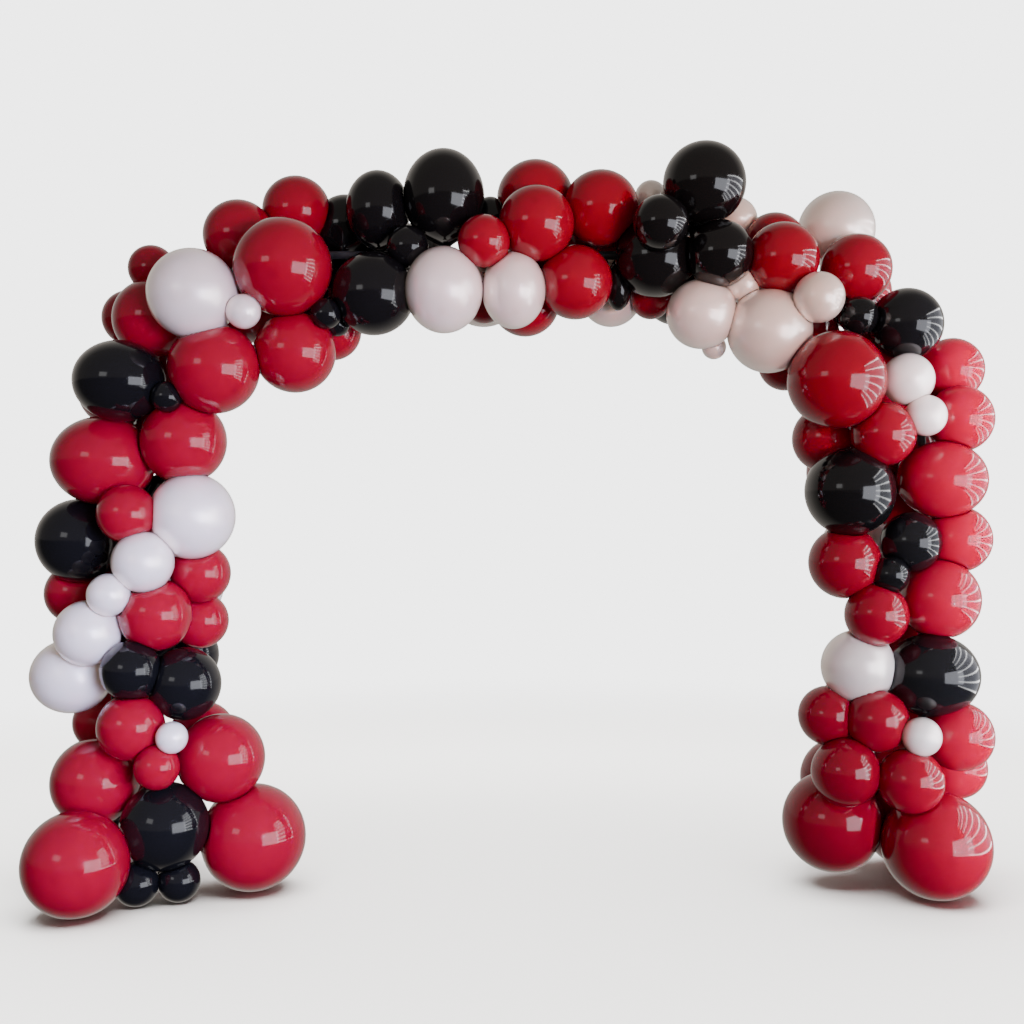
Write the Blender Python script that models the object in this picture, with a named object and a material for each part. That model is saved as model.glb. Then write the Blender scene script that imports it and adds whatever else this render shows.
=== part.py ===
"""Balloon arch on a tube frame: a garland of red, black and white latex balloons of mixed sizes,
tied round a bent tube that stands on two flat base bars.

Metres, +Z up. The front faces -Y, the bars rest on z = 0, and the origin lies on the floor in the
middle of the arch.
"""

import math
from collections import namedtuple

import bmesh
import bpy
from mathutils import Matrix, Vector

CM = 0.01
GAP = 0.0003  # between pieces that touch

# Driving dimensions of the frame
TUBE_RADIUS = 0.0125
POST_X = 1.21  # each post's distance from the middle
POST_TOP_Z = 1.26  # where the crown tube is pushed on
BEND_START_Z = 1.28
BEND_RADIUS = 0.60
BEND_STEPS = 10
POST_SIDES = 16
BAR_WIDTH = 0.05
BAR_FRONT_Y = -0.12
BAR_BACK_Y = 0.42
BAR_THICKNESS = 0.006
SOCKET_RADIUS = 0.018
SOCKET_HEIGHT = 0.060
SOCKET_FLOOR = 0.001  # of the sleeve, left under the post
SOCKET_PLAY = 0.0006  # between a post and its socket

# A balloon's faceted solid: its corners stand this far out, so that its facets straddle the sphere.
FACET_SPREAD = 1.04
CORNER_SPACING = 0.42  # of its radius, the least distance between two corners
UNDERSIDE_SPREAD = 0.6  # of its radius, how wide a balloon rests on a bar
ROUTE_STEP = 0.02  # between the points that stand for the frame's tubes
ON_PLANE = 1e-5

# Latex colours and finish
RED = (0.50, 0.010, 0.028)
WHITE = (0.78, 0.76, 0.77)
BLACK = (0.006, 0.006, 0.007)
STEEL = (0.05, 0.05, 0.055)

Balloon = namedtuple("Balloon", "x y z d")

# One entry for each node: balloons of one colour that press on each other.
# Each balloon is its centre (x across, y back, z up) and its diameter, all in cm.
GARLAND = {
    # left leg, from the floor up
    "red_left_floor_outer": ("red", [(-122, -30, 14.2, 29), (-123, -11.2, 32.6, 25.4)]),
    "red_left_floor_inner": ("red", [(-78.5, -6, 15.2, 31), (-87, -10, 39.3, 25.6), (-97, 8, 43, 20)]),
    "black_left_floor": ("black", [(-101, -18, 21.5, 25), (-108, -21, 5.9, 12.4), (-97, -17.5, 5.8, 12)]),
    "red_left_accent": ("red", [(-101.5, -24, 39.5, 12.8), (-110, -20, 50, 19)]),
    "white_left_bead": ("white", [(-97, -25, 48, 9)]),
    "black_left_pair": ("black", [(-96.5, -14, 61.5, 21), (-110, -20, 66, 17)]),
    "white_left_chain": (
        "white",
        [
            (-131, -8, 63, 23),
            (-123, -18, 76.5, 18.8),
            (-115.8, -21.5, 87.6, 12.2),
            (-106.8, -19.5, 96.8, 17.6),
            (-94.8, -12.5, 109.8, 25),
        ],
    ),
    "red_left_middle": ("red", [(-104.5, -15, 81.5, 21), (-95.5, 0, 78.5, 16.8), (-94, -6, 93, 17.8)]),
    "black_left_side": ("black", [(-130, -5, 102.5, 24.8)]),
    "red_left_upper": (
        "red",
        [(-121.5, -9, 126, 29), (-97.3, -12, 131.5, 24.8), (-111.5, -19, 110.5, 16.8)],
    ),
    # left shoulder
    "black_left_shoulder": ("black", [(-114, -17, 148.5, 25.8), (-99.5, -21.5, 143.5, 8.8)]),
    "white_left_shoulder": ("white", [(-92, -22, 172.5, 25.4), (-77, -25, 167, 9.8)]),
    "red_left_shoulder": (
        "red",
        [(-67, -20, 180.5, 27.8), (-65, -12, 157.5, 23.8), (-87, -18, 152, 26), (-56.3, 2.4, 165.6, 17.6)],
    ),
    "red_left_shoulder_side": ("red", [(-108, -6, 168, 23.2), (-119, 8, 170.5, 17), (-110, 0, 184, 14)]),
    "red_left_crest": ("red", [(-83, -4, 193, 21), (-67, 2, 202, 20.4)]),
    # crown
    "black_crown_left": (
        "black",
        [(-53, 9, 198.5, 19.8), (-41.5, -6, 200, 21.6), (-22, -8, 203.5, 25.6), (-8.5, 0, 198, 13.4)],
    ),
    "black_crown_low": (
        "black",
        [(-42, -14, 174, 24), (-32, -15, 187.3, 12), (-55, -18, 167.5, 8.8), (-53, -10.5, 165.8, 7.4)],
    ),
    "white_crown": ("white", [(-21.5, -17, 174.5, 23.8), (-1.5, -14, 175, 21)]),
    "red_crown": (
        "red",
        [
            (-10, -19, 188, 15),
            (5, -15, 194, 21.8),
            (24, -8, 200, 22.4),
            (5, 0, 205, 23),
            (10, 17, 190, 27),
            (31, 15, 198, 24),
        ],
    ),
    "red_crown_low": ("red", [(16.5, -10, 178, 21.6), (2, 3, 174.5, 20.8), (-10.5, 5, 174.5, 12.4)]),
    "black_crown_right": (
        "black",
        [
            (40, -9, 185.5, 23.6),
            (39.7, -24, 192, 15.6),
            (57.3, -17, 185, 19),
            (53, -17, 205, 23.6),
            (29.5, -4, 178, 10),
            (50.3, 2.4, 197.5, 22.4),
            (50, 16, 181.5, 24),
        ],
    ),
    "red_crown_bead": ("red", [(40, 3, 175.6, 12.6)]),
    "white_crown_bead": ("white", [(40, 3, 206.5, 9.6)]),
    "white_crown_behind": ("white", [(65.8, 6, 200, 14)]),
    # right shoulder
    "red_right_shoulder": ("red", [(76, -14, 184, 21), (77, 2, 191.5, 19.4)]),
    "white_right_crest": ("white", [(98, 10, 198, 23.4)]),
    "red_right_crest": ("red", [(100, -4, 183, 21)]),
    "white_right_accent": ("white", [(84.5, -22, 171.5, 14.4)]),
    "white_right_shoulder": (
        "white",
        [(72.5, -13, 163.5, 24.6), (53, -12, 168.5, 20.4), (65, -11, 177.3, 11), (57.5, -6.3, 159.6, 7.2)],
    ),
    "red_right_shoulder_low": ("red", [(90, -20, 148.5, 27.8), (104.3, -16.5, 133.3, 18.4)]),
    "black_right_shoulder": ("black", [(98, -14, 167.5, 11.4), (112.3, -12, 165.4, 21)]),
    "white_right_pair": ("white", [(111.5, -16, 149, 15), (116, -18, 138.5, 11.8)]),
    # right leg, from the shoulder down
    "red_right_upper_outer": ("red", [(130.9, 3, 154, 19.2), (130, -6, 138.5, 19.8), (124, -8, 120.5, 25)]),
    "black_right_middle": ("black", [(95.5, -14, 117, 25.8)]),
    "black_right_low_pair": ("black", [(113.7, -12, 102.3, 17.4), (106.6, -16, 93, 10.6)]),
    "red_right_outer": ("red", [(129.5, -6, 103, 19.6), (123, -9, 85.5, 23.4)]),
    "red_right_inner": ("red", [(95, -10.5, 96.3, 21), (103, -14.5, 81.4, 18.2)]),
    "white_right_side": ("white", [(99, -10, 66, 21.4)]),
    "black_right_side": ("black", [(120, -11, 63.5, 26)]),
    "red_right_low_inner": (
        "red",
        [(90.5, -9, 51.5, 17.4), (103, -15, 51, 18), (93.7, -16, 36.4, 19.6), (94, -1, 18.6, 29.8)],
    ),
    "red_right_low_outer": (
        "red",
        [
            (127.5, -12, 46, 20),
            (131, 0, 34.3, 18.4),
            (106, 16, 49, 24),
            (124, 16, 38, 25),
            (102, 20, 27, 25),
            (122, 15, 15, 29.4),
            (123, 13, 64, 26),
            (110, 12, 77, 15),
            (124, 14, 88, 26),
        ],
    ),
    "white_right_bead": ("white", [(113.5, -22, 47.7, 11)]),
    "red_right_floor": ("red", [(111, -20, 34.8, 18.6), (120, -15, 15.3, 30.8)]),
    # behind, from the left foot over the crown to the right foot
    "red_behind_left_low": ("red", [(-113, 17, 13.4, 26), (-124.5, 17.5, 29.5, 24), (-120, 21, 57, 22), (-128.4, 10, 46.3, 17.5)]),
    "black_behind_left": ("black", [(-105, 18, 66, 21), (-123, 15, 75, 26)]),
    "white_behind_left": ("white", [(-105.5, 17, 88, 25.4)]),
    "red_behind_left": ("red", [(-133.5, 2, 86.5, 18.4), (-125, 15, 97, 25)]),
    "black_behind_left_high": ("black", [(-106, 16, 112, 26), (-126, 14, 121, 24)]),
    "red_behind_left_shoulder": (
        "red",
        [
            (-107, 16, 135, 26),
            (-124.5, 13, 149, 24),
            (-101, 17, 158, 26),
            (-105, 16, 180, 23),
            (-82, 16, 177, 26),
            (-72, 18, 196, 21),
        ],
    ),
    "black_behind_crown": ("black", [(-58, 19, 180, 26), (-35.5, 17, 188, 27)]),
    "white_behind_crown": ("white", [(-11, 19, 182, 25), (-10, 17, 200, 17)]),
    "white_behind_crown_low": ("white", [(28.5, 10, 177.6, 19)]),
    "red_behind_right_shoulder": (
        "red",
        [
            (72, 18, 181, 25),
            (88, 16, 165.5, 25),
            (80.5, 2, 155.8, 16.4),
            (105, 14, 179, 22),
            (110.5, 9, 161, 23),
        ],
    ),
    "red_behind_right": (
        "red",
        [
            (92.5, 1, 133, 20.2),
            (101, 17, 146, 25),
            (121, 14, 140, 25),
            (103, 16, 123.5, 25),
            (121, 14, 115.5, 25),
        ],
    ),
    "white_behind_right": ("white", [(107, 17, 99, 24)]),
}


def material(name, colour, roughness, metallic=0.0):
    made = bpy.data.materials.new(name)
    made.use_nodes = True
    shader = made.node_tree.nodes["Principled BSDF"]
    shader.inputs["Base Color"].default_value = (*colour, 1.0)
    shader.inputs["Roughness"].default_value = roughness
    shader.inputs["Metallic"].default_value = metallic
    return made


def object_from(bm, name, collection):
    mesh = bpy.data.meshes.new(name)
    bm.to_mesh(mesh)
    bm.free()
    obj = bpy.data.objects.new(name, mesh)
    collection.objects.link(obj)
    return obj


def crown_route():
    """The crown tube's centre line: up the left bend, across and down the right bend."""
    points = [Vector((-POST_X, 0, POST_TOP_Z))]
    for side, start in ((-1, 180.0), (1, 90.0)):
        centre = Vector((side * (POST_X - BEND_RADIUS), 0, BEND_START_Z))
        for step in range(BEND_STEPS + 1):
            angle = math.radians(start - 90.0 * step / BEND_STEPS)
            points.append(centre + BEND_RADIUS * Vector((math.cos(angle), 0, math.sin(angle))))
    return [*points, Vector((POST_X, 0, POST_TOP_Z))]


def frame_route():
    """Points along the whole frame with the radius there, for keeping balloons clear of it."""
    corners = [Vector((-POST_X, 0, 0)), *crown_route(), Vector((POST_X, 0, 0))]
    route = []
    for start, end in zip(corners, corners[1:]):
        count = max(1, math.ceil((end - start).length / ROUTE_STEP))
        for step in range(count):
            point = start.lerp(end, step / count)
            radius = SOCKET_RADIUS if point.z < SOCKET_HEIGHT + ROUTE_STEP else TUBE_RADIUS
            route.append((point, radius))
    return route


def ball_points(centre, reach):
    """The 12 corners of an icosahedron and the middles of its 20 faces, all pushed out to a sphere."""
    bm = bmesh.new()
    bmesh.ops.create_icosphere(bm, subdivisions=1, radius=1.0)
    bmesh.ops.poke(bm, faces=bm.faces)
    for corner in bm.verts:
        corner.co = centre + corner.co.normalized() * reach
    return bm


def wrap(bm):
    """Makes the bmesh the convex hull of its own corners."""
    loose = bmesh.new()
    for corner in bm.verts:
        loose.verts.new(corner.co)
    bm.free()
    hull = bmesh.ops.convex_hull(loose, input=loose.verts)
    inner = {item for item in hull["geom_interior"] if isinstance(item, bmesh.types.BMVert)}
    bmesh.ops.delete(loose, geom=list(inner), context="VERTS")
    return loose


def cut_away(bm, planes):
    """Takes off what lies beyond each plane."""
    for point, outward in planes:
        everything = bm.verts[:] + bm.edges[:] + bm.faces[:]
        bmesh.ops.bisect_plane(
            bm, geom=everything, dist=ON_PLANE / 10, plane_co=point, plane_no=outward, clear_outer=True
        )
    return bm


def thinned(bm, planes, spacing):
    """Drops corners that lie nearer to another than the spacing, keeping those on the flats first."""

    def off_flats(corner):
        return all(abs((corner.co - point).dot(outward)) > ON_PLANE for point, outward in planes)

    kept = []
    for corner in sorted(bm.verts, key=off_flats):
        if all((corner.co - other).length > spacing for other in kept):
            kept.append(corner.co.copy())
    bm.free()
    fewer = bmesh.new()
    for place in kept:
        fewer.verts.new(place)
    return fewer


def all_balloons():
    """Every balloon with its node's name, in metres."""
    found = []
    for node, (_, rows) in GARLAND.items():
        for row in rows:
            size = Balloon(*row)
            found.append((node, Vector((size.x, size.y, size.z)) * CM, size.d * CM / 2))
    return found


def flats_of(node, centre, radius, balloons, route):
    """The planes where a balloon presses on other nodes' balloons, the tube, a bar and the floor."""
    reach = radius * FACET_SPREAD
    planes = []
    for other_node, other_centre, other_radius in balloons:
        between = other_centre - centre
        apart = between.length
        if other_node == node or apart > reach + other_radius * FACET_SPREAD + GAP:
            continue
        flat = (apart**2 + radius**2 - other_radius**2) / (2 * apart)
        toward = between.normalized()
        planes.append((centre + toward * (flat - GAP / 2), toward))
    near = [(point, thick) for point, thick in route if (point - centre).length < reach + thick + GAP]
    if near:
        nearest = min(near, key=lambda item: (item[0] - centre).length)[0]
        toward = (nearest - centre).normalized()
        flat = min((point - centre).dot(toward) - thick - GAP for point, thick in near)
        planes.append((centre + toward * flat, toward))
    over_bar = abs(abs(centre.x) - POST_X) < BAR_WIDTH / 2 + radius * UNDERSIDE_SPREAD
    lowest = BAR_THICKNESS + GAP if over_bar else 0.0
    if centre.z - reach < lowest:
        planes.append((Vector((0, 0, lowest)), Vector((0, 0, -1))))
    return planes


def balloon_solid(node, centre, radius, balloons, route):
    """A faceted sphere, flattened where it presses on something."""
    planes = flats_of(node, centre, radius, balloons, route)
    bm = wrap(ball_points(centre, radius * FACET_SPREAD))
    bm = thinned(cut_away(bm, planes), planes, radius * CORNER_SPACING)
    return wrap(bm)


def union(obj, tools, operation="UNION"):
    """Applies Booleans one after the other and removes the tools."""
    for tool in tools:
        step = obj.modifiers.new(operation.lower(), "BOOLEAN")
        step.operation = operation
        step.solver = "EXACT"
        step.object = tool
    bpy.context.view_layer.update()
    graph = bpy.context.evaluated_depsgraph_get()
    solid = bpy.data.meshes.new_from_object(obj.evaluated_get(graph))
    obj.modifiers.clear()
    old, obj.data = obj.data, solid
    bpy.data.meshes.remove(old)
    for tool in tools:
        bpy.data.objects.remove(tool)


def build_garland(parts, helpers, finishes):
    route = frame_route()
    balloons = all_balloons()
    for node, (colour, _) in GARLAND.items():
        own = [item for item in balloons if item[0] == node]
        solids = []
        for index, (_, centre, radius) in enumerate(own):
            bm = balloon_solid(node, centre, radius, balloons, route)
            holder = helpers if index else parts
            solids.append(object_from(bm, node if index == 0 else f"{node}_{index}", holder))
        if len(solids) > 1:
            union(solids[0], solids[1:])
        solids[0].data.name = node
        solids[0].data.materials.clear()
        solids[0].data.materials.append(finishes[colour])


def cylinder(name, collection, radius, low, high, x):
    bm = bmesh.new()
    bmesh.ops.create_cone(
        bm,
        cap_ends=True,
        segments=POST_SIDES,
        radius1=radius,
        radius2=radius,
        depth=high - low,
        matrix=Matrix.Translation((x, 0, (low + high) / 2)),
    )
    return object_from(bm, name, collection)


def build_base(side, post_x, parts, helpers, finish):
    """A flat bar from front to back with a socket for the post welded on it."""
    bm = bmesh.new()
    size = (BAR_WIDTH, BAR_BACK_Y - BAR_FRONT_Y, BAR_THICKNESS)
    middle = (post_x, (BAR_BACK_Y + BAR_FRONT_Y) / 2, BAR_THICKNESS / 2)
    bmesh.ops.create_cube(bm, size=1.0, matrix=Matrix.LocRotScale(middle, None, size))
    base = object_from(bm, f"base_bar_{side}", parts)
    sleeve = cylinder(f"sleeve_{side}", helpers, SOCKET_RADIUS, BAR_THICKNESS / 2, SOCKET_HEIGHT, post_x)
    union(base, [sleeve])
    floor = BAR_THICKNESS + SOCKET_FLOOR
    bore = cylinder(
        f"bore_{side}", helpers, TUBE_RADIUS + SOCKET_PLAY, floor, SOCKET_HEIGHT + BAR_THICKNESS, post_x
    )
    union(base, [bore], "DIFFERENCE")
    base.data.materials.clear()
    base.data.materials.append(finish)


def build_frame(parts, helpers, finish):
    foot = BAR_THICKNESS + SOCKET_FLOOR + GAP
    for side, post_x in (("left", -POST_X), ("right", POST_X)):
        build_base(side, post_x, parts, helpers, finish)
        post = cylinder(f"post_{side}", parts, TUBE_RADIUS, foot, POST_TOP_Z - GAP, post_x)
        post.data.materials.append(finish)
    curve = bpy.data.curves.new("crown_tube", "CURVE")
    curve.dimensions = "3D"
    curve.bevel_depth = TUBE_RADIUS
    curve.bevel_resolution = 2
    curve.use_fill_caps = True
    spline = curve.splines.new("POLY")
    points = crown_route()
    spline.points.add(len(points) - 1)
    for target, point in zip(spline.points, points):
        target.co = (*point, 1.0)
    curve.materials.append(finish)
    crown = bpy.data.objects.new("crown_tube", curve)
    parts.objects.link(crown)


def main():
    for obj in list(bpy.data.objects):
        bpy.data.objects.remove(obj)
    scene = bpy.context.scene
    parts = bpy.data.collections.new("balloon_arch")
    helpers = bpy.data.collections.new("cutters")
    scene.collection.children.link(parts)
    scene.collection.children.link(helpers)
    finishes = {
        "red": material("red latex", RED, 0.22),
        "white": material("pearl white latex", WHITE, 0.25),
        "black": material("black latex", BLACK, 0.12),
        "steel": material("powder-coated steel", STEEL, 0.45, 0.0),
    }
    build_frame(parts, helpers, finishes["steel"])
    build_garland(parts, helpers, finishes)


main()
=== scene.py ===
"""Balloon arch: a garland of red, black and pearl white latex balloons, tied round a bent steel
tube that stands on two flat bars. Metres, +Z up, and the front faces -Y.
"""

import math

import bmesh
import bpy
import numpy as np
from mathutils import Matrix, Vector


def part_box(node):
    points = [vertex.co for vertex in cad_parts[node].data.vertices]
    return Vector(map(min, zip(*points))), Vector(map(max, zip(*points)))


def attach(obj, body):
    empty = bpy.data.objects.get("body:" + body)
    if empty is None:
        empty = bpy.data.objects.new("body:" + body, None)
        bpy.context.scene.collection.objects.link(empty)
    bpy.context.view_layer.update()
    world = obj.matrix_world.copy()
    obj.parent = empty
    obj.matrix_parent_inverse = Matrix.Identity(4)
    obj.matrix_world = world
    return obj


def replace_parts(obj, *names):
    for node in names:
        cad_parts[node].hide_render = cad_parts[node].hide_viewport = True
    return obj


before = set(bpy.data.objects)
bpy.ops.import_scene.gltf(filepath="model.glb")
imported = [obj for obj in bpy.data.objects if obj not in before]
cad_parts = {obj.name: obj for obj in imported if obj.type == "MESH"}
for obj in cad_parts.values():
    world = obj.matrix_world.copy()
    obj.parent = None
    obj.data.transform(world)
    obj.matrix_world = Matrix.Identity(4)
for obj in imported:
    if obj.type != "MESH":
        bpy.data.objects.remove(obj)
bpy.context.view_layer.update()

# Base bars. One flat steel bar lies from front to back under each post, with a sleeve welded on
# that takes the post. Bar and sleeve are powder coated together, so the weld shows as a soft ring.
POST_X = 1.21  # each post's distance from the middle
BAR_TOP = 0.006
BAR_CORNER = 0.0015
SLEEVE_RADIUS = 0.018
SLEEVE_BORE = 0.0131
SLEEVE_HEIGHT = 0.060
SLEEVE_CHAMFER = 0.0008
SLEEVE_SIDES = 48
WELD = 0.004  # the weld's hollow, a quarter of a circle
WELD_STEPS = 5
POWDER_BLACK = "#202124"
POWDER_SCUFFED = "#3C3D3F"


def linear(colour):
    """An sRGB hex colour as linear red, green, blue and an alpha of 1."""
    parts = [int(colour[i : i + 2], 16) / 255 for i in (1, 3, 5)]
    return [p / 12.92 if p <= 0.04045 else ((p + 0.055) / 1.055) ** 2.4 for p in parts] + [1.0]


def add(material, kind, inputs=None, **settings):
    """Adds a node: settings are its properties, an input is a value or another node's output."""
    node = material.node_tree.nodes.new(kind)
    for name, value in settings.items():
        setattr(node, name, value)
    for name, value in (inputs or {}).items():
        if isinstance(value, bpy.types.NodeSocket):
            material.node_tree.links.new(value, node.inputs[name])
        else:
            node.inputs[name].default_value = value
    return node


def finish(name, **constants):
    """A new material and its shader node, with the values that are the same all over."""
    material = bpy.data.materials.new(name)
    material.use_nodes = True
    shader = material.node_tree.nodes["Principled BSDF"]
    for socket, value in constants.items():
        shader.inputs[socket.replace("_", " ")].default_value = value
    return material, shader


# Polyester powder baked on steel: satin with a fine orange peel, and greyer in patches of about
# 7 cm where shoes rub it. The peel's cells are 1 to 2 mm, and are drawn at 4 mm so that they show.
powder, shader = finish("powder coated steel", IOR=1.5)
place = add(powder, "ShaderNodeTexCoord").outputs["Object"]
peel = add(powder, "ShaderNodeTexNoise", {"Vector": place, "Scale": 250.0, "Detail": 2.0})
scuff = add(
    powder, "ShaderNodeTexNoise", {"Vector": place, "Scale": 14.0, "Detail": 6.0, "Roughness": 0.7}
)
worn = add(
    powder, "ShaderNodeMapRange", {"Value": scuff.outputs[0], "From Min": 0.52, "From Max": 0.75}
)
shade = add(
    powder,
    "ShaderNodeMix",
    {0: worn.outputs[0], 6: linear(POWDER_BLACK), 7: linear(POWDER_SCUFFED)},
    data_type="RGBA",
)
satin = add(powder, "ShaderNodeMapRange", {"Value": worn.outputs[0], "To Min": 0.38, "To Max": 0.6})
bump = add(
    powder, "ShaderNodeBump", {"Height": peel.outputs[0], "Strength": 0.25, "Distance": 0.0004}
)
powder.node_tree.links.new(shade.outputs[2], shader.inputs["Base Color"])
powder.node_tree.links.new(satin.outputs[0], shader.inputs["Roughness"])
powder.node_tree.links.new(bump.outputs[0], shader.inputs["Normal"])


def turned(bm, outline, x, sides):
    """Turns a closed outline of (radius, height) points round an upright axis at x."""
    rings = []
    for step in range(sides):
        angle = 2 * math.pi * step / sides
        ring = [bm.verts.new((x + r * math.cos(angle), r * math.sin(angle), z)) for r, z in outline]
        rings.append(ring)
    for ring, after in zip(rings, rings[1:] + rings[:1]):
        for i in range(len(outline)):
            j = (i + 1) % len(outline)
            bm.faces.new((ring[i], after[i], after[j], ring[j]))


def shown(bm, name, material):
    """The finished mesh as an object that rides on the arch."""
    bmesh.ops.recalc_face_normals(bm, faces=bm.faces)
    mesh = bpy.data.meshes.new(name)
    bm.to_mesh(mesh)
    bm.free()
    mesh.materials.append(material)
    piece = bpy.data.objects.new(name, mesh)
    bpy.context.scene.collection.objects.link(piece)
    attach(piece, "root")
    return piece


for side, post_x in (("left", -POST_X), ("right", POST_X)):
    low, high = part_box(f"base_bar_{side}")
    bm = bmesh.new()
    size = Vector((high.x - low.x, high.y - low.y, BAR_TOP))
    middle = Vector(((low.x + high.x) / 2, (low.y + high.y) / 2, BAR_TOP / 2))
    bmesh.ops.create_cube(bm, size=1.0, matrix=Matrix.LocRotScale(middle, None, size))
    bmesh.ops.bevel(
        bm, geom=bm.edges[:], offset=BAR_CORNER, segments=3, profile=0.5, affect="EDGES"
    )
    sleeve = [(SLEEVE_BORE, BAR_TOP), (SLEEVE_RADIUS + WELD, BAR_TOP)]
    for step in range(1, WELD_STEPS + 1):
        angle = math.radians(90 / WELD_STEPS * step)
        reach = SLEEVE_RADIUS + WELD * (1 - math.sin(angle))
        sleeve.append((reach, BAR_TOP + WELD * (1 - math.cos(angle))))
    shoulder = SLEEVE_HEIGHT - SLEEVE_CHAMFER
    sleeve += [(SLEEVE_RADIUS, shoulder), (SLEEVE_RADIUS - SLEEVE_CHAMFER, SLEEVE_HEIGHT)]
    sleeve += [(SLEEVE_BORE + SLEEVE_CHAMFER, SLEEVE_HEIGHT), (SLEEVE_BORE, shoulder)]
    turned(bm, sleeve, post_x, SLEEVE_SIDES)
    base = shown(bm, f"base_{side}", powder)
    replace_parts(base, f"base_bar_{side}")

# Tube. Two straight posts stand in the sleeves, and one bent crown tube rests on both of them, with
# a short collar round each of its ends. Posts and crown are the same 25 mm powder coated tube.
TUBE_RADIUS = 0.0125
TUBE_FOOT = 0.0073  # where a post ends, inside its sleeve
GAP = 0.0003  # between pieces that touch
JOINT_Z = 1.26
COLLAR_RADIUS = 0.0138
COLLAR_HEIGHT = 0.02
BEND_START_Z = 1.28
BEND_RADIUS = 0.60
BEND_STEPS = 24


def tube(name, points, radius):
    """A tube along straight runs between the points."""
    curve = bpy.data.curves.new(name, "CURVE")
    curve.dimensions = "3D"
    curve.bevel_depth = radius
    curve.bevel_resolution = 6
    curve.use_fill_caps = True
    spline = curve.splines.new("POLY")
    spline.points.add(len(points) - 1)
    for target, point in zip(spline.points, points):
        target.co = (*point, 1.0)
    curve.materials.append(powder)
    piece = bpy.data.objects.new(name, curve)
    bpy.context.scene.collection.objects.link(piece)
    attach(piece, "root")
    return piece


crown_line = [Vector((-POST_X, 0, JOINT_Z))]
for side, start in ((-1, 180.0), (1, 90.0)):
    centre = Vector((side * (POST_X - BEND_RADIUS), 0, BEND_START_Z))
    for step in range(BEND_STEPS + 1):
        angle = math.radians(start - 90.0 * step / BEND_STEPS)
        crown_line.append(centre + BEND_RADIUS * Vector((math.cos(angle), 0, math.sin(angle))))
crown_line.append(Vector((POST_X, 0, JOINT_Z)))
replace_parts(tube("crown_tube_bent", crown_line, TUBE_RADIUS), "crown_tube")
for side, post_x in (("left", -POST_X), ("right", POST_X)):
    post_line = [Vector((post_x, 0, TUBE_FOOT)), Vector((post_x, 0, JOINT_Z - GAP))]
    post = tube(f"post_tube_{side}", post_line, TUBE_RADIUS)
    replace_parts(post, f"post_{side}")
    collar_line = [Vector((post_x, 0, JOINT_Z)), Vector((post_x, 0, JOINT_Z + COLLAR_HEIGHT))]
    tube(f"post_joint_{side}", collar_line, COLLAR_RADIUS)

# Balloons. Each is a latex skin dipped on a former, blown to a near round pear and knotted. Its
# neck is turned in to the tube, so the crown faces out.
KNOT = ((0.0, 1.0), (0.8, 1.5), (1.9, 1.7), (2.8, 1.0))  # along and out, in neck radii
LIP = ((3.6, 1.3), (4.3, 2.3), (4.8, 2.5), (5.0, 2.0), (4.7, 0.9))
ROUND_TO = 122.0  # degrees from the crown, where the round body starts to draw in to the neck
CLOSER_RINGS = 0.92  # under 1, the rings stand closer together towards the neck
NECK_REACH = 1.2  # of the radius, from the middle to the knot
NECK_RADIUS = (0.0025, 0.022)  # of an empty balloon, and what each metre of radius adds
NECK_PULL = (0.42, 0.2)  # of the radius, how stiffly the skin leaves the body and meets the neck
CROWN_DOT = 6.0  # degrees, the thicker spot that the former's tip leaves
DOT_DENSITY = 0.2
FINEST = (64, 40)  # segments and body rings of the largest balloon
COARSEST = (40, 24)
LARGEST = 0.30
ROUTE_STEP = 0.02  # between the points that stand for the frame's tubes
blown = []

frame_line = []
run = [Vector((-POST_X, 0, 0)), *crown_line, Vector((POST_X, 0, 0))]
for start, end in zip(run, run[1:]):
    count = max(1, math.ceil((end - start).length / ROUTE_STEP))
    frame_line += [start.lerp(end, step / count) for step in range(count)]
frame_line = np.array(frame_line)


def pear(radius, rings):
    """Rings of a blown balloon as (along, out, density): along the axis from crown to knot."""
    turn = math.radians(ROUND_TO)
    outline = []
    for step in range(1, rings + 1):
        angle = turn * (step / rings) ** CLOSER_RINGS
        dense = math.exp(-((math.degrees(angle) / CROWN_DOT) ** 2)) * DOT_DENSITY
        outline.append((-radius * math.cos(angle), radius * math.sin(angle), dense))
    neck = NECK_RADIUS[0] + NECK_RADIUS[1] * radius
    start = np.array(outline[-1][:2])
    heading = np.array((math.sin(turn), math.cos(turn)))
    end = np.array((NECK_REACH * radius, neck))
    leave, meet = (pull * radius for pull in NECK_PULL)
    pulls = (start, start + leave * heading, end - np.array((meet, 0.0)), end)
    steps = max(5, rings // 4)
    for step in range(1, steps):
        t = step / steps
        weights = ((1 - t) ** 3, 3 * t * (1 - t) ** 2, 3 * t * t * (1 - t), t**3)
        along, out = sum(w * pull for w, pull in zip(weights, pulls))
        outline.append((along, out, t**2))
    outline += [(NECK_REACH * radius + neck * a, neck * r, 1.0) for a, r in KNOT + LIP]
    return outline


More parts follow.
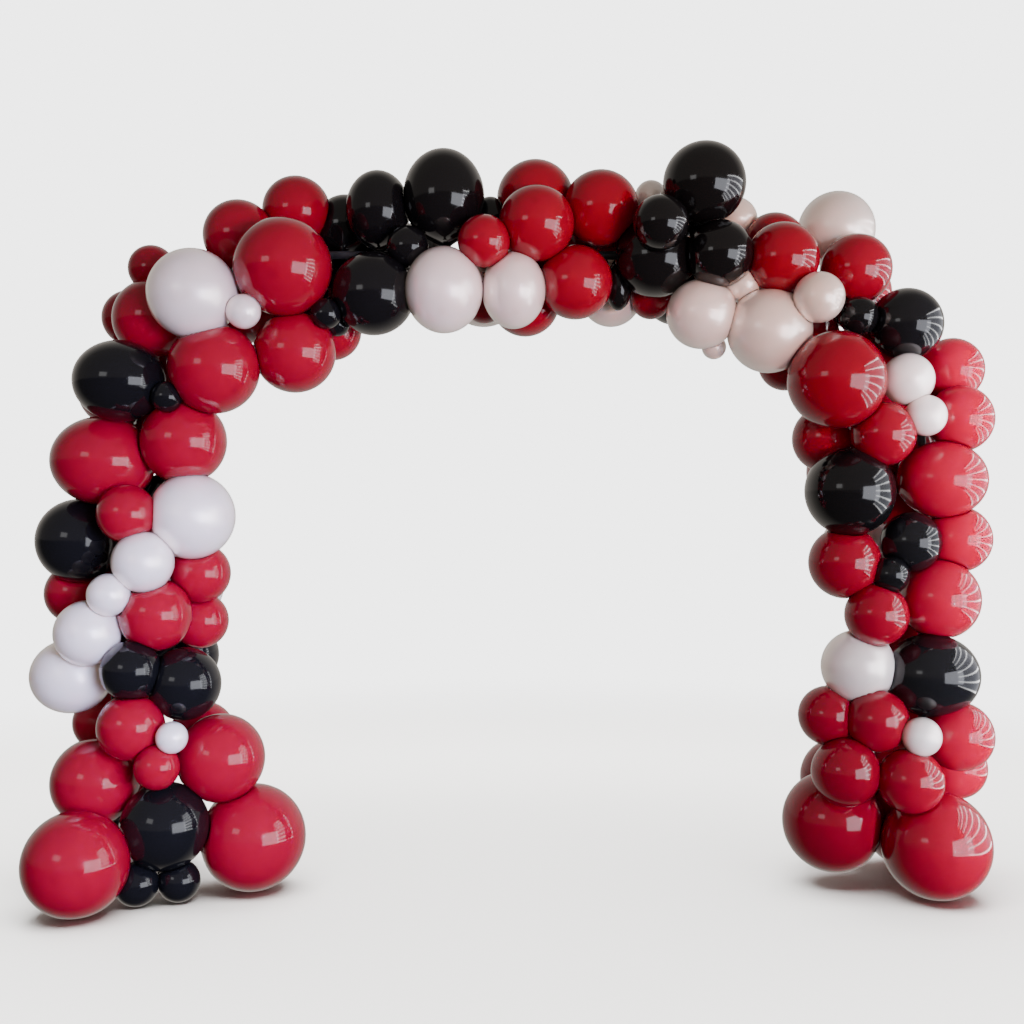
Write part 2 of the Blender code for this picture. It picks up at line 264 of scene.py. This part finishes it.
def blow(cluster, latex, *sizes):
    """Blows a cluster's balloons: x, y, z, diameter in cm, and for some how wide and how tall."""
    for number, (x, y, z, diameter, *drawn) in enumerate(sizes, 1):
        centre = np.array((x, y, z)) / 100
        radius = diameter / 200
        fineness = min(1.0, 2 * radius / LARGEST)
        segments, rings = (
            round(coarse + (fine - coarse) * fineness) for fine, coarse in zip(FINEST, COARSEST)
        )
        nearest = frame_line[np.argmin(np.linalg.norm(frame_line - centre, axis=1))]
        axis = Vector(nearest - centre).normalized()
        across = axis.orthogonal().normalized()
        over = axis.cross(across)
        outline = np.array(pear(radius, rings))
        angles = np.arange(segments) * 2 * math.pi / segments
        sweep = np.outer(np.cos(angles), across) + np.outer(np.sin(angles), over)
        skin = outline[:, None, 0, None] * np.array(axis) + outline[:, None, 1, None] * sweep
        tip = outline[-1, 0] * np.array(axis)
        crown = -radius * np.array(axis)
        points = np.vstack((crown, skin.reshape(-1, 3), tip))
        dense = np.hstack((DOT_DENSITY, np.repeat(outline[:, 2], segments), 1.0))
        wide, tall = drawn or (1.0, 1.0)
        points *= (wide, 1.0, tall)
        last = len(points) - 1
        faces = []
        for i in range(segments):
            j = (i + 1) % segments
            faces.append((0, 1 + j, 1 + i))
            for ring in range(len(outline) - 1):
                here, there = 1 + ring * segments, 1 + (ring + 1) * segments
                faces.append((here + i, here + j, there + j, there + i))
            faces.append((last - segments + i, last - segments + j, last))
        name = f"{cluster}_{number}"
        mesh = bpy.data.meshes.new(name)
        mesh.from_pydata(points.tolist(), [], faces)
        mesh.shade_smooth()
        mesh.materials.append(latex)
        density = mesh.attributes.new("dense", "FLOAT", "POINT")
        density.data.foreach_set("value", dense.astype(np.float32))
        piece = bpy.data.objects.new(name, mesh)
        piece.location = centre
        bpy.context.scene.collection.objects.link(piece)
        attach(piece, "root")
        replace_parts(piece, cluster)
        blown.append((piece, centre, radius, np.array((wide, 1.0, tall))))


# Red latex: natural rubber with a red dye, thin enough for light to spread inside it. It is clearer
# where it is stretched, deeper at the crown's dot and the neck, and clouded about every 5 cm. Its
# gloss has a faint dusty bloom in patches of about 2 cm.
RED_STRETCHED = "#84031F"
RED_DENSE = "#5A0213"
red_latex, shader = finish(
    "red dyed latex",
    IOR=1.52,
    Subsurface_Weight=0.25,
    Subsurface_Radius=(0.05, 0.006, 0.006),
    Subsurface_Scale=1.0,
)
red_latex["slot"] = "red_latex"
place = add(red_latex, "ShaderNodeTexCoord").outputs["Object"]
dense = add(red_latex, "ShaderNodeAttribute", attribute_name="dense").outputs["Fac"]
cloud = add(red_latex, "ShaderNodeTexNoise", {"Vector": place, "Scale": 18.0, "Detail": 4.0})
thick = add(
    red_latex, "ShaderNodeMath", {0: cloud.outputs[0], 1: 0.35, 2: dense}, operation="MULTIPLY_ADD"
)
dye = add(
    red_latex,
    "ShaderNodeMix",
    {0: thick.outputs[0], 6: linear(RED_STRETCHED), 7: linear(RED_DENSE)},
    data_type="RGBA",
)
bloom = add(red_latex, "ShaderNodeTexNoise", {"Vector": place, "Scale": 55.0, "Detail": 5.0})
gloss = add(
    red_latex, "ShaderNodeMapRange", {"Value": bloom.outputs[0], "To Min": 0.04, "To Max": 0.13}
)
bump = add(
    red_latex, "ShaderNodeBump", {"Height": bloom.outputs[0], "Strength": 0.05, "Distance": 0.0006}
)
red_latex.node_tree.links.new(dye.outputs[2], shader.inputs["Base Color"])
red_latex.node_tree.links.new(gloss.outputs[0], shader.inputs["Roughness"])
red_latex.node_tree.links.new(bump.outputs[0], shader.inputs["Normal"])

# Pearl white latex: fine mica in the rubber gives a soft broad sheen under a clear gloss. The
# stretched skin is a warm white, clouded about every 5 cm, and the neck is creamier. The mica's
# flakes are far finer than a millimetre, and are drawn at 3 mm so that they show.
PEARL_STRETCHED = "#F5E9E3"
PEARL_DENSE = "#D2C2B6"
white_latex, shader = finish(
    "pearl white latex",
    IOR=1.52,
    Metallic=0.35,
    Subsurface_Weight=0.2,
    Subsurface_Radius=(0.04, 0.03, 0.03),
    Subsurface_Scale=1.0,
    Coat_Weight=1.0,
    Coat_IOR=1.6,
    Coat_Roughness=0.08,
)
white_latex["slot"] = "white_latex"
place = add(white_latex, "ShaderNodeTexCoord").outputs["Object"]
dense = add(white_latex, "ShaderNodeAttribute", attribute_name="dense").outputs["Fac"]
cloud = add(white_latex, "ShaderNodeTexNoise", {"Vector": place, "Scale": 22.0, "Detail": 5.0})
thick = add(
    white_latex, "ShaderNodeMath", {0: cloud.outputs[0], 1: 0.3, 2: dense}, operation="MULTIPLY_ADD"
)
mica = add(
    white_latex,
    "ShaderNodeMix",
    {0: thick.outputs[0], 6: linear(PEARL_STRETCHED), 7: linear(PEARL_DENSE)},
    data_type="RGBA",
)
flake = add(white_latex, "ShaderNodeTexNoise", {"Vector": place, "Scale": 300.0, "Detail": 2.0})
gloss = add(
    white_latex, "ShaderNodeMapRange", {"Value": flake.outputs[0], "To Min": 0.26, "To Max": 0.33}
)
bump = add(
    white_latex, "ShaderNodeBump", {"Height": cloud.outputs[0], "Strength": 0.05, "Distance": 0.001}
)
white_latex.node_tree.links.new(mica.outputs[2], shader.inputs["Base Color"])
white_latex.node_tree.links.new(gloss.outputs[0], shader.inputs["Roughness"])
white_latex.node_tree.links.new(bump.outputs[0], shader.inputs["Normal"])

# Black latex: carbon black makes it opaque, so all that shows is its gloss: sharp reflections with
# a slight ripple about 3 cm long, duller in the centimetre-wide patches where dust has settled.
BLACK_STRETCHED = "#0B0B0D"
BLACK_DENSE = "#050506"
black_latex, shader = finish("carbon black latex", IOR=1.52)
black_latex["slot"] = "black_latex"
place = add(black_latex, "ShaderNodeTexCoord").outputs["Object"]
dense = add(black_latex, "ShaderNodeAttribute", attribute_name="dense").outputs["Fac"]
carbon = add(
    black_latex,
    "ShaderNodeMix",
    {0: dense, 6: linear(BLACK_STRETCHED), 7: linear(BLACK_DENSE)},
    data_type="RGBA",
)
ripple = add(black_latex, "ShaderNodeTexNoise", {"Vector": place, "Scale": 30.0, "Detail": 3.0})
dust = add(black_latex, "ShaderNodeTexNoise", {"Vector": place, "Scale": 90.0, "Detail": 6.0})
gloss = add(
    black_latex, "ShaderNodeMapRange", {"Value": dust.outputs[0], "To Min": 0.04, "To Max": 0.16}
)
bump = add(
    black_latex,
    "ShaderNodeBump",
    {"Height": ripple.outputs[0], "Strength": 0.08, "Distance": 0.0012},
)
black_latex.node_tree.links.new(carbon.outputs[2], shader.inputs["Base Color"])
black_latex.node_tree.links.new(gloss.outputs[0], shader.inputs["Roughness"])
black_latex.node_tree.links.new(bump.outputs[0], shader.inputs["Normal"])

# Left leg, from the floor up. The lowest balloons rest on the floor and spread in front of the
# post. A chain of white ones climbs across it, and small ones are tucked in where large ones meet.
blow("red_left_floor_outer", red_latex, (-122, -30, 14.2, 29), (-123, -11.2, 32.6, 25.4))
blow(
    "red_left_floor_inner",
    red_latex,
    (-78.5, -6, 15.2, 31),
    (-87, -10, 39.3, 25.6),
    (-97, 8, 43, 20),
)
blow(
    "black_left_floor",
    black_latex,
    (-101, -18, 21.5, 25),
    (-108, -21, 5.9, 12.4),
    (-97, -17.5, 5.8, 12),
)
blow("red_left_accent", red_latex, (-101.5, -24, 39.5, 12.8), (-110, -20, 50, 19))
blow("white_left_bead", white_latex, (-97, -25, 48, 9))
blow("black_left_pair", black_latex, (-96.5, -14, 61.5, 21), (-110, -20, 66, 17))
blow(
    "white_left_chain",
    white_latex,
    (-131, -8, 63, 23, 1.04, 0.95),
    (-123, -18, 76.5, 18.8),
    (-115.8, -21.5, 87.6, 12.2),
    (-106.8, -19.5, 96.8, 17.6),
    (-94.8, -12.5, 109.8, 25),
)
blow(
    "red_left_middle",
    red_latex,
    (-104.5, -15, 81.5, 21),
    (-95.5, 0, 78.5, 16.8),
    (-94, -6, 93, 17.8),
)
blow("black_left_side", black_latex, (-130, -5, 102.5, 24.8))
blow(
    "red_left_upper",
    red_latex,
    (-121.5, -9, 126, 29, 1.03, 0.9),
    (-97.3, -12, 131.5, 24.8),
    (-111.5, -19, 110.5, 16.8),
)

# Left shoulder. Large balloons lean out over the bend of the tube, with a pearl white one in front
# and small accents pressed into the hollows beside it.
blow(
    "black_left_shoulder",
    black_latex,
    (-114, -17, 148.5, 25.8, 1.02, 0.9),
    (-99.5, -21.5, 143.5, 8.8),
)
blow("white_left_shoulder", white_latex, (-92, -22, 172.5, 25.4), (-77, -25, 167, 9.8))
blow(
    "red_left_shoulder",
    red_latex,
    (-67, -20, 180.5, 27.8),
    (-65, -12, 157.5, 23.8),
    (-87, -18, 152, 26),
    (-56.3, 2.4, 165.6, 17.6),
)
blow(
    "red_left_shoulder_side",
    red_latex,
    (-108, -6, 168, 23.2),
    (-119, 8, 170.5, 17),
    (-110, 0, 184, 14),
)
blow("red_left_crest", red_latex, (-83, -4, 193, 21), (-67, 2, 202, 20.4))

# Crown. The straight run of the tube carries clusters of one colour after another: black, white,
# red and black again. Some hang below the tube and hide it from the front.
blow(
    "black_crown_left",
    black_latex,
    (-53, 9, 198.5, 19.8),
    (-41.5, -6, 200, 21.6, 0.88, 1.07),
    (-22, -8, 203.5, 25.6, 0.93, 1.08),
    (-8.5, 0, 198, 13.4, 0.9, 1.12),
)
blow(
    "black_crown_low",
    black_latex,
    (-42, -14, 174, 24),
    (-32, -15, 187.3, 12),
    (-55, -18, 167.5, 8.8),
    (-53, -10.5, 165.8, 7.4),
)
blow(
    "white_crown",
    white_latex,
    (-21.5, -17, 174.5, 23.8, 0.94, 1.04),
    (-1.5, -14, 175, 21, 0.88, 1.06),
)
blow(
    "red_crown",
    red_latex,
    (-10, -19, 188, 15),
    (5, -15, 194, 21.8),
    (24, -8, 200, 22.4),
    (5, 0, 205, 23),
    (10, 17, 190, 27),
    (31, 15, 198, 24),
)
blow(
    "red_crown_low",
    red_latex,
    (16.5, -10, 178, 21.6),
    (2, 3, 174.5, 20.8),
    (-10.5, 5, 174.5, 12.4),
)
blow(
    "black_crown_right",
    black_latex,
    (40, -9, 185.5, 23.6),
    (39.7, -24, 192, 15.6),
    (57.3, -17, 185, 19),
    (53, -17, 205, 23.6),
    (29.5, -4, 178, 10, 0.8, 1.45),
    (50.3, 2.4, 197.5, 22.4),
    (50, 16, 181.5, 24),
)
blow("red_crown_bead", red_latex, (40, 3, 175.6, 12.6))
blow("white_crown_bead", white_latex, (40, 3, 206.5, 9.6))
blow("white_crown_behind", white_latex, (65.8, 6, 200, 14))

# Right shoulder. White ones lie under the bend, and red, black and white ones go over it.
blow("red_right_shoulder", red_latex, (76, -14, 184, 21), (77, 2, 191.5, 19.4))
blow("white_right_crest", white_latex, (98, 10, 198, 23.4))
blow("red_right_crest", red_latex, (100, -4, 183, 21))
blow("white_right_accent", white_latex, (84.5, -22, 171.5, 14.4))
blow(
    "white_right_shoulder",
    white_latex,
    (72.5, -13, 163.5, 24.6),
    (53, -12, 168.5, 20.4),
    (65, -11, 177.3, 11),
    (57.5, -6.3, 159.6, 7.2),
)
blow("red_right_shoulder_low", red_latex, (90, -20, 148.5, 27.8), (104.3, -16.5, 133.3, 18.4))
blow("black_right_shoulder", black_latex, (98, -14, 167.5, 11.4), (112.3, -12, 165.4, 21))
blow("white_right_pair", white_latex, (111.5, -16, 149, 15), (116, -18, 138.5, 11.8))

# Right leg, from the shoulder down. Black and white balloons and small red ones are tied in front
# of a column of large red ones at the outer side.
blow(
    "red_right_upper_outer",
    red_latex,
    (130.9, 3, 154, 19.2),
    (130, -6, 138.5, 19.8),
    (124, -8, 120.5, 25, 1.05, 0.91),
)
blow("black_right_middle", black_latex, (95.5, -14, 117, 25.8))
blow("black_right_low_pair", black_latex, (113.7, -12, 102.3, 17.4), (106.6, -16, 93, 10.6))
blow("red_right_outer", red_latex, (129.5, -6, 103, 19.6), (123, -9, 85.5, 23.4))
blow("red_right_inner", red_latex, (95, -10.5, 96.3, 21), (103, -14.5, 81.4, 18.2))
blow("white_right_side", white_latex, (99, -10, 66, 21.4))
blow("black_right_side", black_latex, (120, -11, 63.5, 26, 1.05, 0.93))
blow(
    "red_right_low_inner",
    red_latex,
    (90.5, -9, 51.5, 17.4),
    (103, -15, 51, 18),
    (93.7, -16, 36.4, 19.6),
    (94, -1, 18.6, 29.8),
)
blow(
    "red_right_low_outer",
    red_latex,
    (127.5, -12, 46, 20),
    (131, 0, 34.3, 18.4),
    (106, 16, 49, 24),
    (124, 16, 38, 25),
    (102, 20, 27, 25),
    (122, 15, 15, 29.4),
    (123, 13, 64, 26),
    (110, 12, 77, 15),
    (124, 14, 88, 26),
)
blow("white_right_bead", white_latex, (113.5, -22, 47.7, 11))
blow("red_right_floor", red_latex, (111, -20, 34.8, 18.6), (120, -15, 15.3, 30.8))

# Behind the tube. A second row of large balloons in the same three colours, tied back to back with
# the front ones, hides most of the tube from behind.
blow(
    "red_behind_left_low",
    red_latex,
    (-113, 17, 13.4, 26),
    (-124.5, 17.5, 29.5, 24),
    (-120, 21, 57, 22),
    (-128.4, 10, 46.3, 17.5),
)
blow("black_behind_left", black_latex, (-105, 18, 66, 21), (-123, 15, 75, 26))
blow("white_behind_left", white_latex, (-105.5, 17, 88, 25.4))
blow("red_behind_left", red_latex, (-133.5, 2, 86.5, 18.4), (-125, 15, 97, 25))
blow("black_behind_left_high", black_latex, (-106, 16, 112, 26), (-126, 14, 121, 24))
blow(
    "red_behind_left_shoulder",
    red_latex,
    (-107, 16, 135, 26),
    (-124.5, 13, 149, 24),
    (-101, 17, 158, 26),
    (-105, 16, 180, 23),
    (-82, 16, 177, 26),
    (-72, 18, 196, 21),
)
blow("black_behind_crown", black_latex, (-58, 19, 180, 26), (-35.5, 17, 188, 27))
blow("white_behind_crown", white_latex, (-11, 19, 182, 25), (-10, 17, 200, 17))
blow("white_behind_crown_low", white_latex, (28.5, 10, 177.6, 19))
blow(
    "red_behind_right_shoulder",
    red_latex,
    (72, 18, 181, 25),
    (88, 16, 165.5, 25),
    (80.5, 2, 155.8, 16.4),
    (105, 14, 179, 22),
    (110.5, 9, 161, 23),
)
blow(
    "red_behind_right",
    red_latex,
    (92.5, 1, 133, 20.2),
    (101, 17, 146, 25),
    (121, 14, 140, 25),
    (103, 16, 123.5, 25),
    (121, 14, 115.5, 25),
)
blow("white_behind_right", white_latex, (107, 17, 99, 24))

# Pressing. Where two balloons touch, the one that stands further out keeps its round shape and
# dents the other. Front and back ones share a flat wall, and all of them flatten on tube, bars and
# floor. Each vertex moves along its line from the middle to the nearest of these walls.
FAR = 1000.0  # where nothing is in the way
FACING = 0.02  # cosine: a heading further round than this never meets a flat wall
NEIGHBOURS = 1.12  # of two radii together, how near two balloons are that can press
TUBE_REACH = 1.1  # of the radius, the tube that can press on a body: a neck can still cross it
UNDERSIDE_SPREAD = 0.6  # of the radius, how far to the side a balloon can rest on a bar
BAR_HALF = 0.025
SPLIT_Y = 0.05  # front and back balloons part here
SHALLOWEST = 0.3  # of the softer balloon's radius: a wall nearer its middle than this is flat
BEND = 0.2  # of how far a wall presses in, how softly the skin turns into it
SHARPEST_BEND = 0.0004
WIDEST_BEND = 0.03  # of the radius

centres = np.array([centre for _, centre, _, _ in blown])
radii = np.array([radius for _, _, radius, _ in blown])
front = centres[:, 1] < SPLIT_Y
proud = np.where(front, -centres[:, 1], centres[:, 1])


def flat_wall(heading, outward, depth):
    """How far the skin can go along each heading before a flat wall."""
    facing = heading @ outward
    return np.where(facing > FACING, depth / np.maximum(facing, FACING), FAR)


def round_wall(heading, middle, radius, stretch, way):
    """How far it can go before a round wall: way is -1 if met from outside, 1 from inside."""
    heading, middle = heading / stretch, middle / stretch
    size = (heading**2).sum(axis=1)
    toward = heading @ middle
    square = toward**2 - size * (middle @ middle - radius**2)
    met = (square > 0) & ((toward > 0) | (way > 0))
    return np.where(met, (toward + way * np.sqrt(np.maximum(square, 0))) / size, FAR)


for index, (piece, centre, radius, _) in enumerate(blown):
    mesh = piece.data
    points = np.empty(len(mesh.vertices) * 3)
    mesh.vertices.foreach_get("co", points)
    points = points.reshape(-1, 3)
    reach = np.linalg.norm(points, axis=1)
    heading = points / reach[:, None]
    walls = []
    apart = np.linalg.norm(centres - centre, axis=1)
    for other in np.nonzero(apart < NEIGHBOURS * (radii + radius))[0]:
        if other == index:
            continue
        away = apart[other]
        outward = (centres[other] - centre) / away
        depth = (away**2 + radius**2 - radii[other] ** 2) / (2 * away)
        keeps = proud[index] > proud[other]
        soft_radius, soft_depth = (radii[other], away - depth) if keeps else (radius, depth)
        if front[index] != front[other] or soft_depth < SHALLOWEST * soft_radius:
            walls.append((flat_wall(heading, outward, depth - GAP / 2), radius - depth))
            continue
        # The dent is part of a ball through the rim where the two skins meet. Its middle is far
        # enough out that no line from the softer balloon's middle meets the dent twice.
        from_soft = max(away, soft_radius**2 / soft_depth)
        rim = max(radius**2 - depth**2, 0.0)
        bulge = math.sqrt(rim + (from_soft - soft_depth) ** 2) if from_soft > away else radii[other]
        if keeps:
            cap = heading @ outward > depth / radius
            if from_soft > away:
                wall = round_wall(heading, (away - from_soft) * outward, bulge - GAP / 2, 1.0, 1)
            else:
                wall = np.full(len(heading), radius)
            walls.append((np.where(cap, wall, FAR), 0.0))
        else:
            stretch = 1.0 if from_soft > away else blown[other][3]
            wall = round_wall(heading, from_soft * outward, bulge + GAP, stretch, -1)
            walls.append((wall, radius - depth))
    to_tube = frame_line - centre
    near = to_tube[np.linalg.norm(to_tube, axis=1) < TUBE_REACH * radius + ROUTE_STEP]
    if len(near):
        nearest = near[np.argmin(np.linalg.norm(near, axis=1))]
        outward = nearest / np.linalg.norm(nearest)
        in_sleeve = near[:, 2] + centre[2] < SLEEVE_HEIGHT + ROUTE_STEP
        thick = np.where(in_sleeve, SLEEVE_RADIUS + WELD, TUBE_RADIUS)
        depth = (near @ outward - thick - GAP).min()
        walls.append((flat_wall(heading, outward, depth), radius - depth))
    over_bar = abs(abs(centre[0]) - POST_X) < BAR_HALF + UNDERSIDE_SPREAD * radius
    depth = centre[2] - (BAR_TOP + GAP if over_bar else GAP)
    walls.append((flat_wall(heading, np.array((0.0, 0.0, -1.0)), depth), radius - depth))
    pressed = reach.copy()
    for wall, squeeze in walls:
        soft = min(max(BEND * squeeze, SHARPEST_BEND), WIDEST_BEND * radius)
        least = np.minimum(pressed, wall)
        spread = np.exp(-(pressed - least) / soft) + np.exp(-np.minimum(wall - least, 1.0) / soft)
        pressed = least - soft * np.log(spread)
    mesh.vertices.foreach_set("co", (heading * pressed[:, None]).ravel())
    mesh.update()

# Floor, light and camera. A pale floor with a light of its own fades out into a pale backdrop. The
# balloons mirror two windows in front and a wall with bright slats beside the right leg, and fills
# that they don't mirror even out the rest. The camera is level, at about half the arch's height.
FLOOR_COLOUR = "#EFEEEC"
FLOOR_SIZE = 6.0
FADE_FROM = 2.3  # metres from the middle
FADE_TO = 4.6
BACKDROP = 5.0  # brightness of the backdrop
SLATS = 7
LOWEST_SLAT = -0.1
SLAT_PITCH = 0.43
bm = bmesh.new()
bmesh.ops.create_grid(bm, x_segments=1, y_segments=1, size=FLOOR_SIZE)
floor_mesh = bpy.data.meshes.new("floor")
bm.to_mesh(floor_mesh)
bm.free()
floor = bpy.data.objects.new("floor", floor_mesh)
floor.visible_glossy = False
floor.visible_diffuse = False
bpy.context.scene.collection.objects.link(floor)
paint, shader = finish("matt pale floor paint", Specular_IOR_Level=0.2)
shader.inputs["Base Color"].default_value = linear(FLOOR_COLOUR)
place = add(paint, "ShaderNodeTexCoord").outputs["Object"]
away = add(paint, "ShaderNodeVectorMath", {0: place}, operation="LENGTH").outputs["Value"]
patchy = add(paint, "ShaderNodeTexNoise", {"Vector": place, "Scale": 1.5, "Detail": 3.0})
matt = add(paint, "ShaderNodeMapRange", {"Value": patchy.outputs[0], "To Min": 0.6, "To Max": 0.8})
fade = add(
    paint,
    "ShaderNodeMapRange",
    {"Value": away, "From Min": FADE_FROM, "From Max": FADE_TO, "To Min": 1.0, "To Max": 0.0},
    interpolation_type="SMOOTHSTEP",
)
paint.node_tree.links.new(matt.outputs[0], shader.inputs["Roughness"])
paint.node_tree.links.new(fade.outputs[0], shader.inputs["Alpha"])
floor_mesh.materials.append(paint)

all_but_floor = bpy.data.collections.new("all but the floor")
all_but_floor.objects.link(floor)
all_but_floor.collection_objects[0].light_linking.link_state = "EXCLUDE"


def softbox(name, place, aim, size, watts, colour="#FFFFFF", spread=180, lights=all_but_floor):
    """A rectangular area light turned towards a point; spread is its beam's width in degrees."""
    lamp = bpy.data.lights.new(name, "AREA")
    lamp.shape = "RECTANGLE"
    lamp.size, lamp.size_y = size
    lamp.energy = watts
    lamp.color = linear(colour)[:3]
    lamp.spread = math.radians(spread)
    box = bpy.data.objects.new(name, lamp)
    box.location = place
    box.rotation_euler = (Vector(aim) - Vector(place)).to_track_quat("-Z", "Y").to_euler()
    box.visible_camera = False
    box.light_linking.receiver_collection = lights
    bpy.context.scene.collection.objects.link(box)
    return box


def fill(*settings, **more):
    """A softbox that no surface mirrors."""
    softbox(*settings, **more).visible_glossy = False


softbox("window", (3.7, -3.7, 0.8), (0.0, 0.0, 1.1), (3.8, 2.5), 165, "#F2F5FF")
softbox("side wall", (2.95, -0.4, 1.2), (1.2, -0.4, 1.2), (2.9, 2.7), 34, "#EEF2FF")
for slat in range(SLATS):
    height = LOWEST_SLAT + slat * SLAT_PITCH
    softbox("side slat", (2.85, -0.4, height), (1.2, -0.4, height), (2.8, 0.07), 7.5)
softbox("second window", (-3.0, -4.5, 2.4), (0.0, 0.0, 1.1), (1.5, 1.0), 9)
fill("front fill", (-0.5, -7.0, 1.0), (0.0, 0.0, 1.1), (6.0, 2.4), 200, "#FFEBDD")
fill("left fill", (0.9, -3.0, 1.05), (-1.15, 0.0, 0.35), (1.4, 1.4), 76, "#C4CDFF", spread=62)
fill("right fill", (2.3, -3.1, 0.9), (1.52, 0.0, 0.84), (0.3, 2.0), 42, "#E4E9FF", spread=23)
fill("crown fill", (2.2, -3.6, 1.3), (0.1, 0.0, 1.95), (1.2, 0.6), 11, "#FFB08C", spread=42)
fill("back fill", (0.0, 7.0, 2.0), (0.0, 0.0, 1.1), (6.0, 3.0), 430)
floor_only = bpy.data.collections.new("floor only")
floor_only.objects.link(floor)
fill("floor light", (0.0, 0.0, 7.0), (0.0, 0.0, 0.0), (8.0, 8.0), 3000, lights=floor_only)

sky = bpy.data.worlds.new("studio")
sky.use_nodes = True
bpy.context.scene.world = sky
room = sky.node_tree.nodes["Background"]
heading = add(sky, "ShaderNodeTexCoord").outputs["Generated"]
split = add(sky, "ShaderNodeSeparateXYZ", {"Vector": heading})
ceiling = add(
    sky,
    "ShaderNodeMapRange",
    {"Value": split.outputs["Z"], "From Max": 0.05, "To Min": 0.07, "To Max": 0.24},
)
behind = add(
    sky,
    "ShaderNodeMapRange",
    {"Value": split.outputs["Y"], "From Min": 0.1, "From Max": 0.7, "To Max": 0.6},
)
strength = add(
    sky, "ShaderNodeMath", {0: ceiling.outputs[0], 1: behind.outputs[0]}, operation="ADD"
)
sky.node_tree.links.new(strength.outputs[0], room.inputs["Strength"])
room.inputs["Color"].default_value = linear("#FFF6EC")
backdrop = add(sky, "ShaderNodeBackground", {"Strength": BACKDROP})
seen = add(sky, "ShaderNodeLightPath").outputs["Is Camera Ray"]
either = add(sky, "ShaderNodeMixShader", {0: seen, 1: room.outputs[0], 2: backdrop.outputs[0]})
sky.node_tree.links.new(either.outputs[0], sky.node_tree.nodes["World Output"].inputs["Surface"])

camera_data = bpy.data.cameras.new("camera")
camera_data.lens = 42.19
camera = bpy.data.objects.new("camera", camera_data)
camera.location = (-0.02, -3.6, 1.11)
camera.rotation_euler = (math.radians(90), 0, 0)
bpy.context.scene.collection.objects.link(camera)
bpy.context.scene.camera = camera
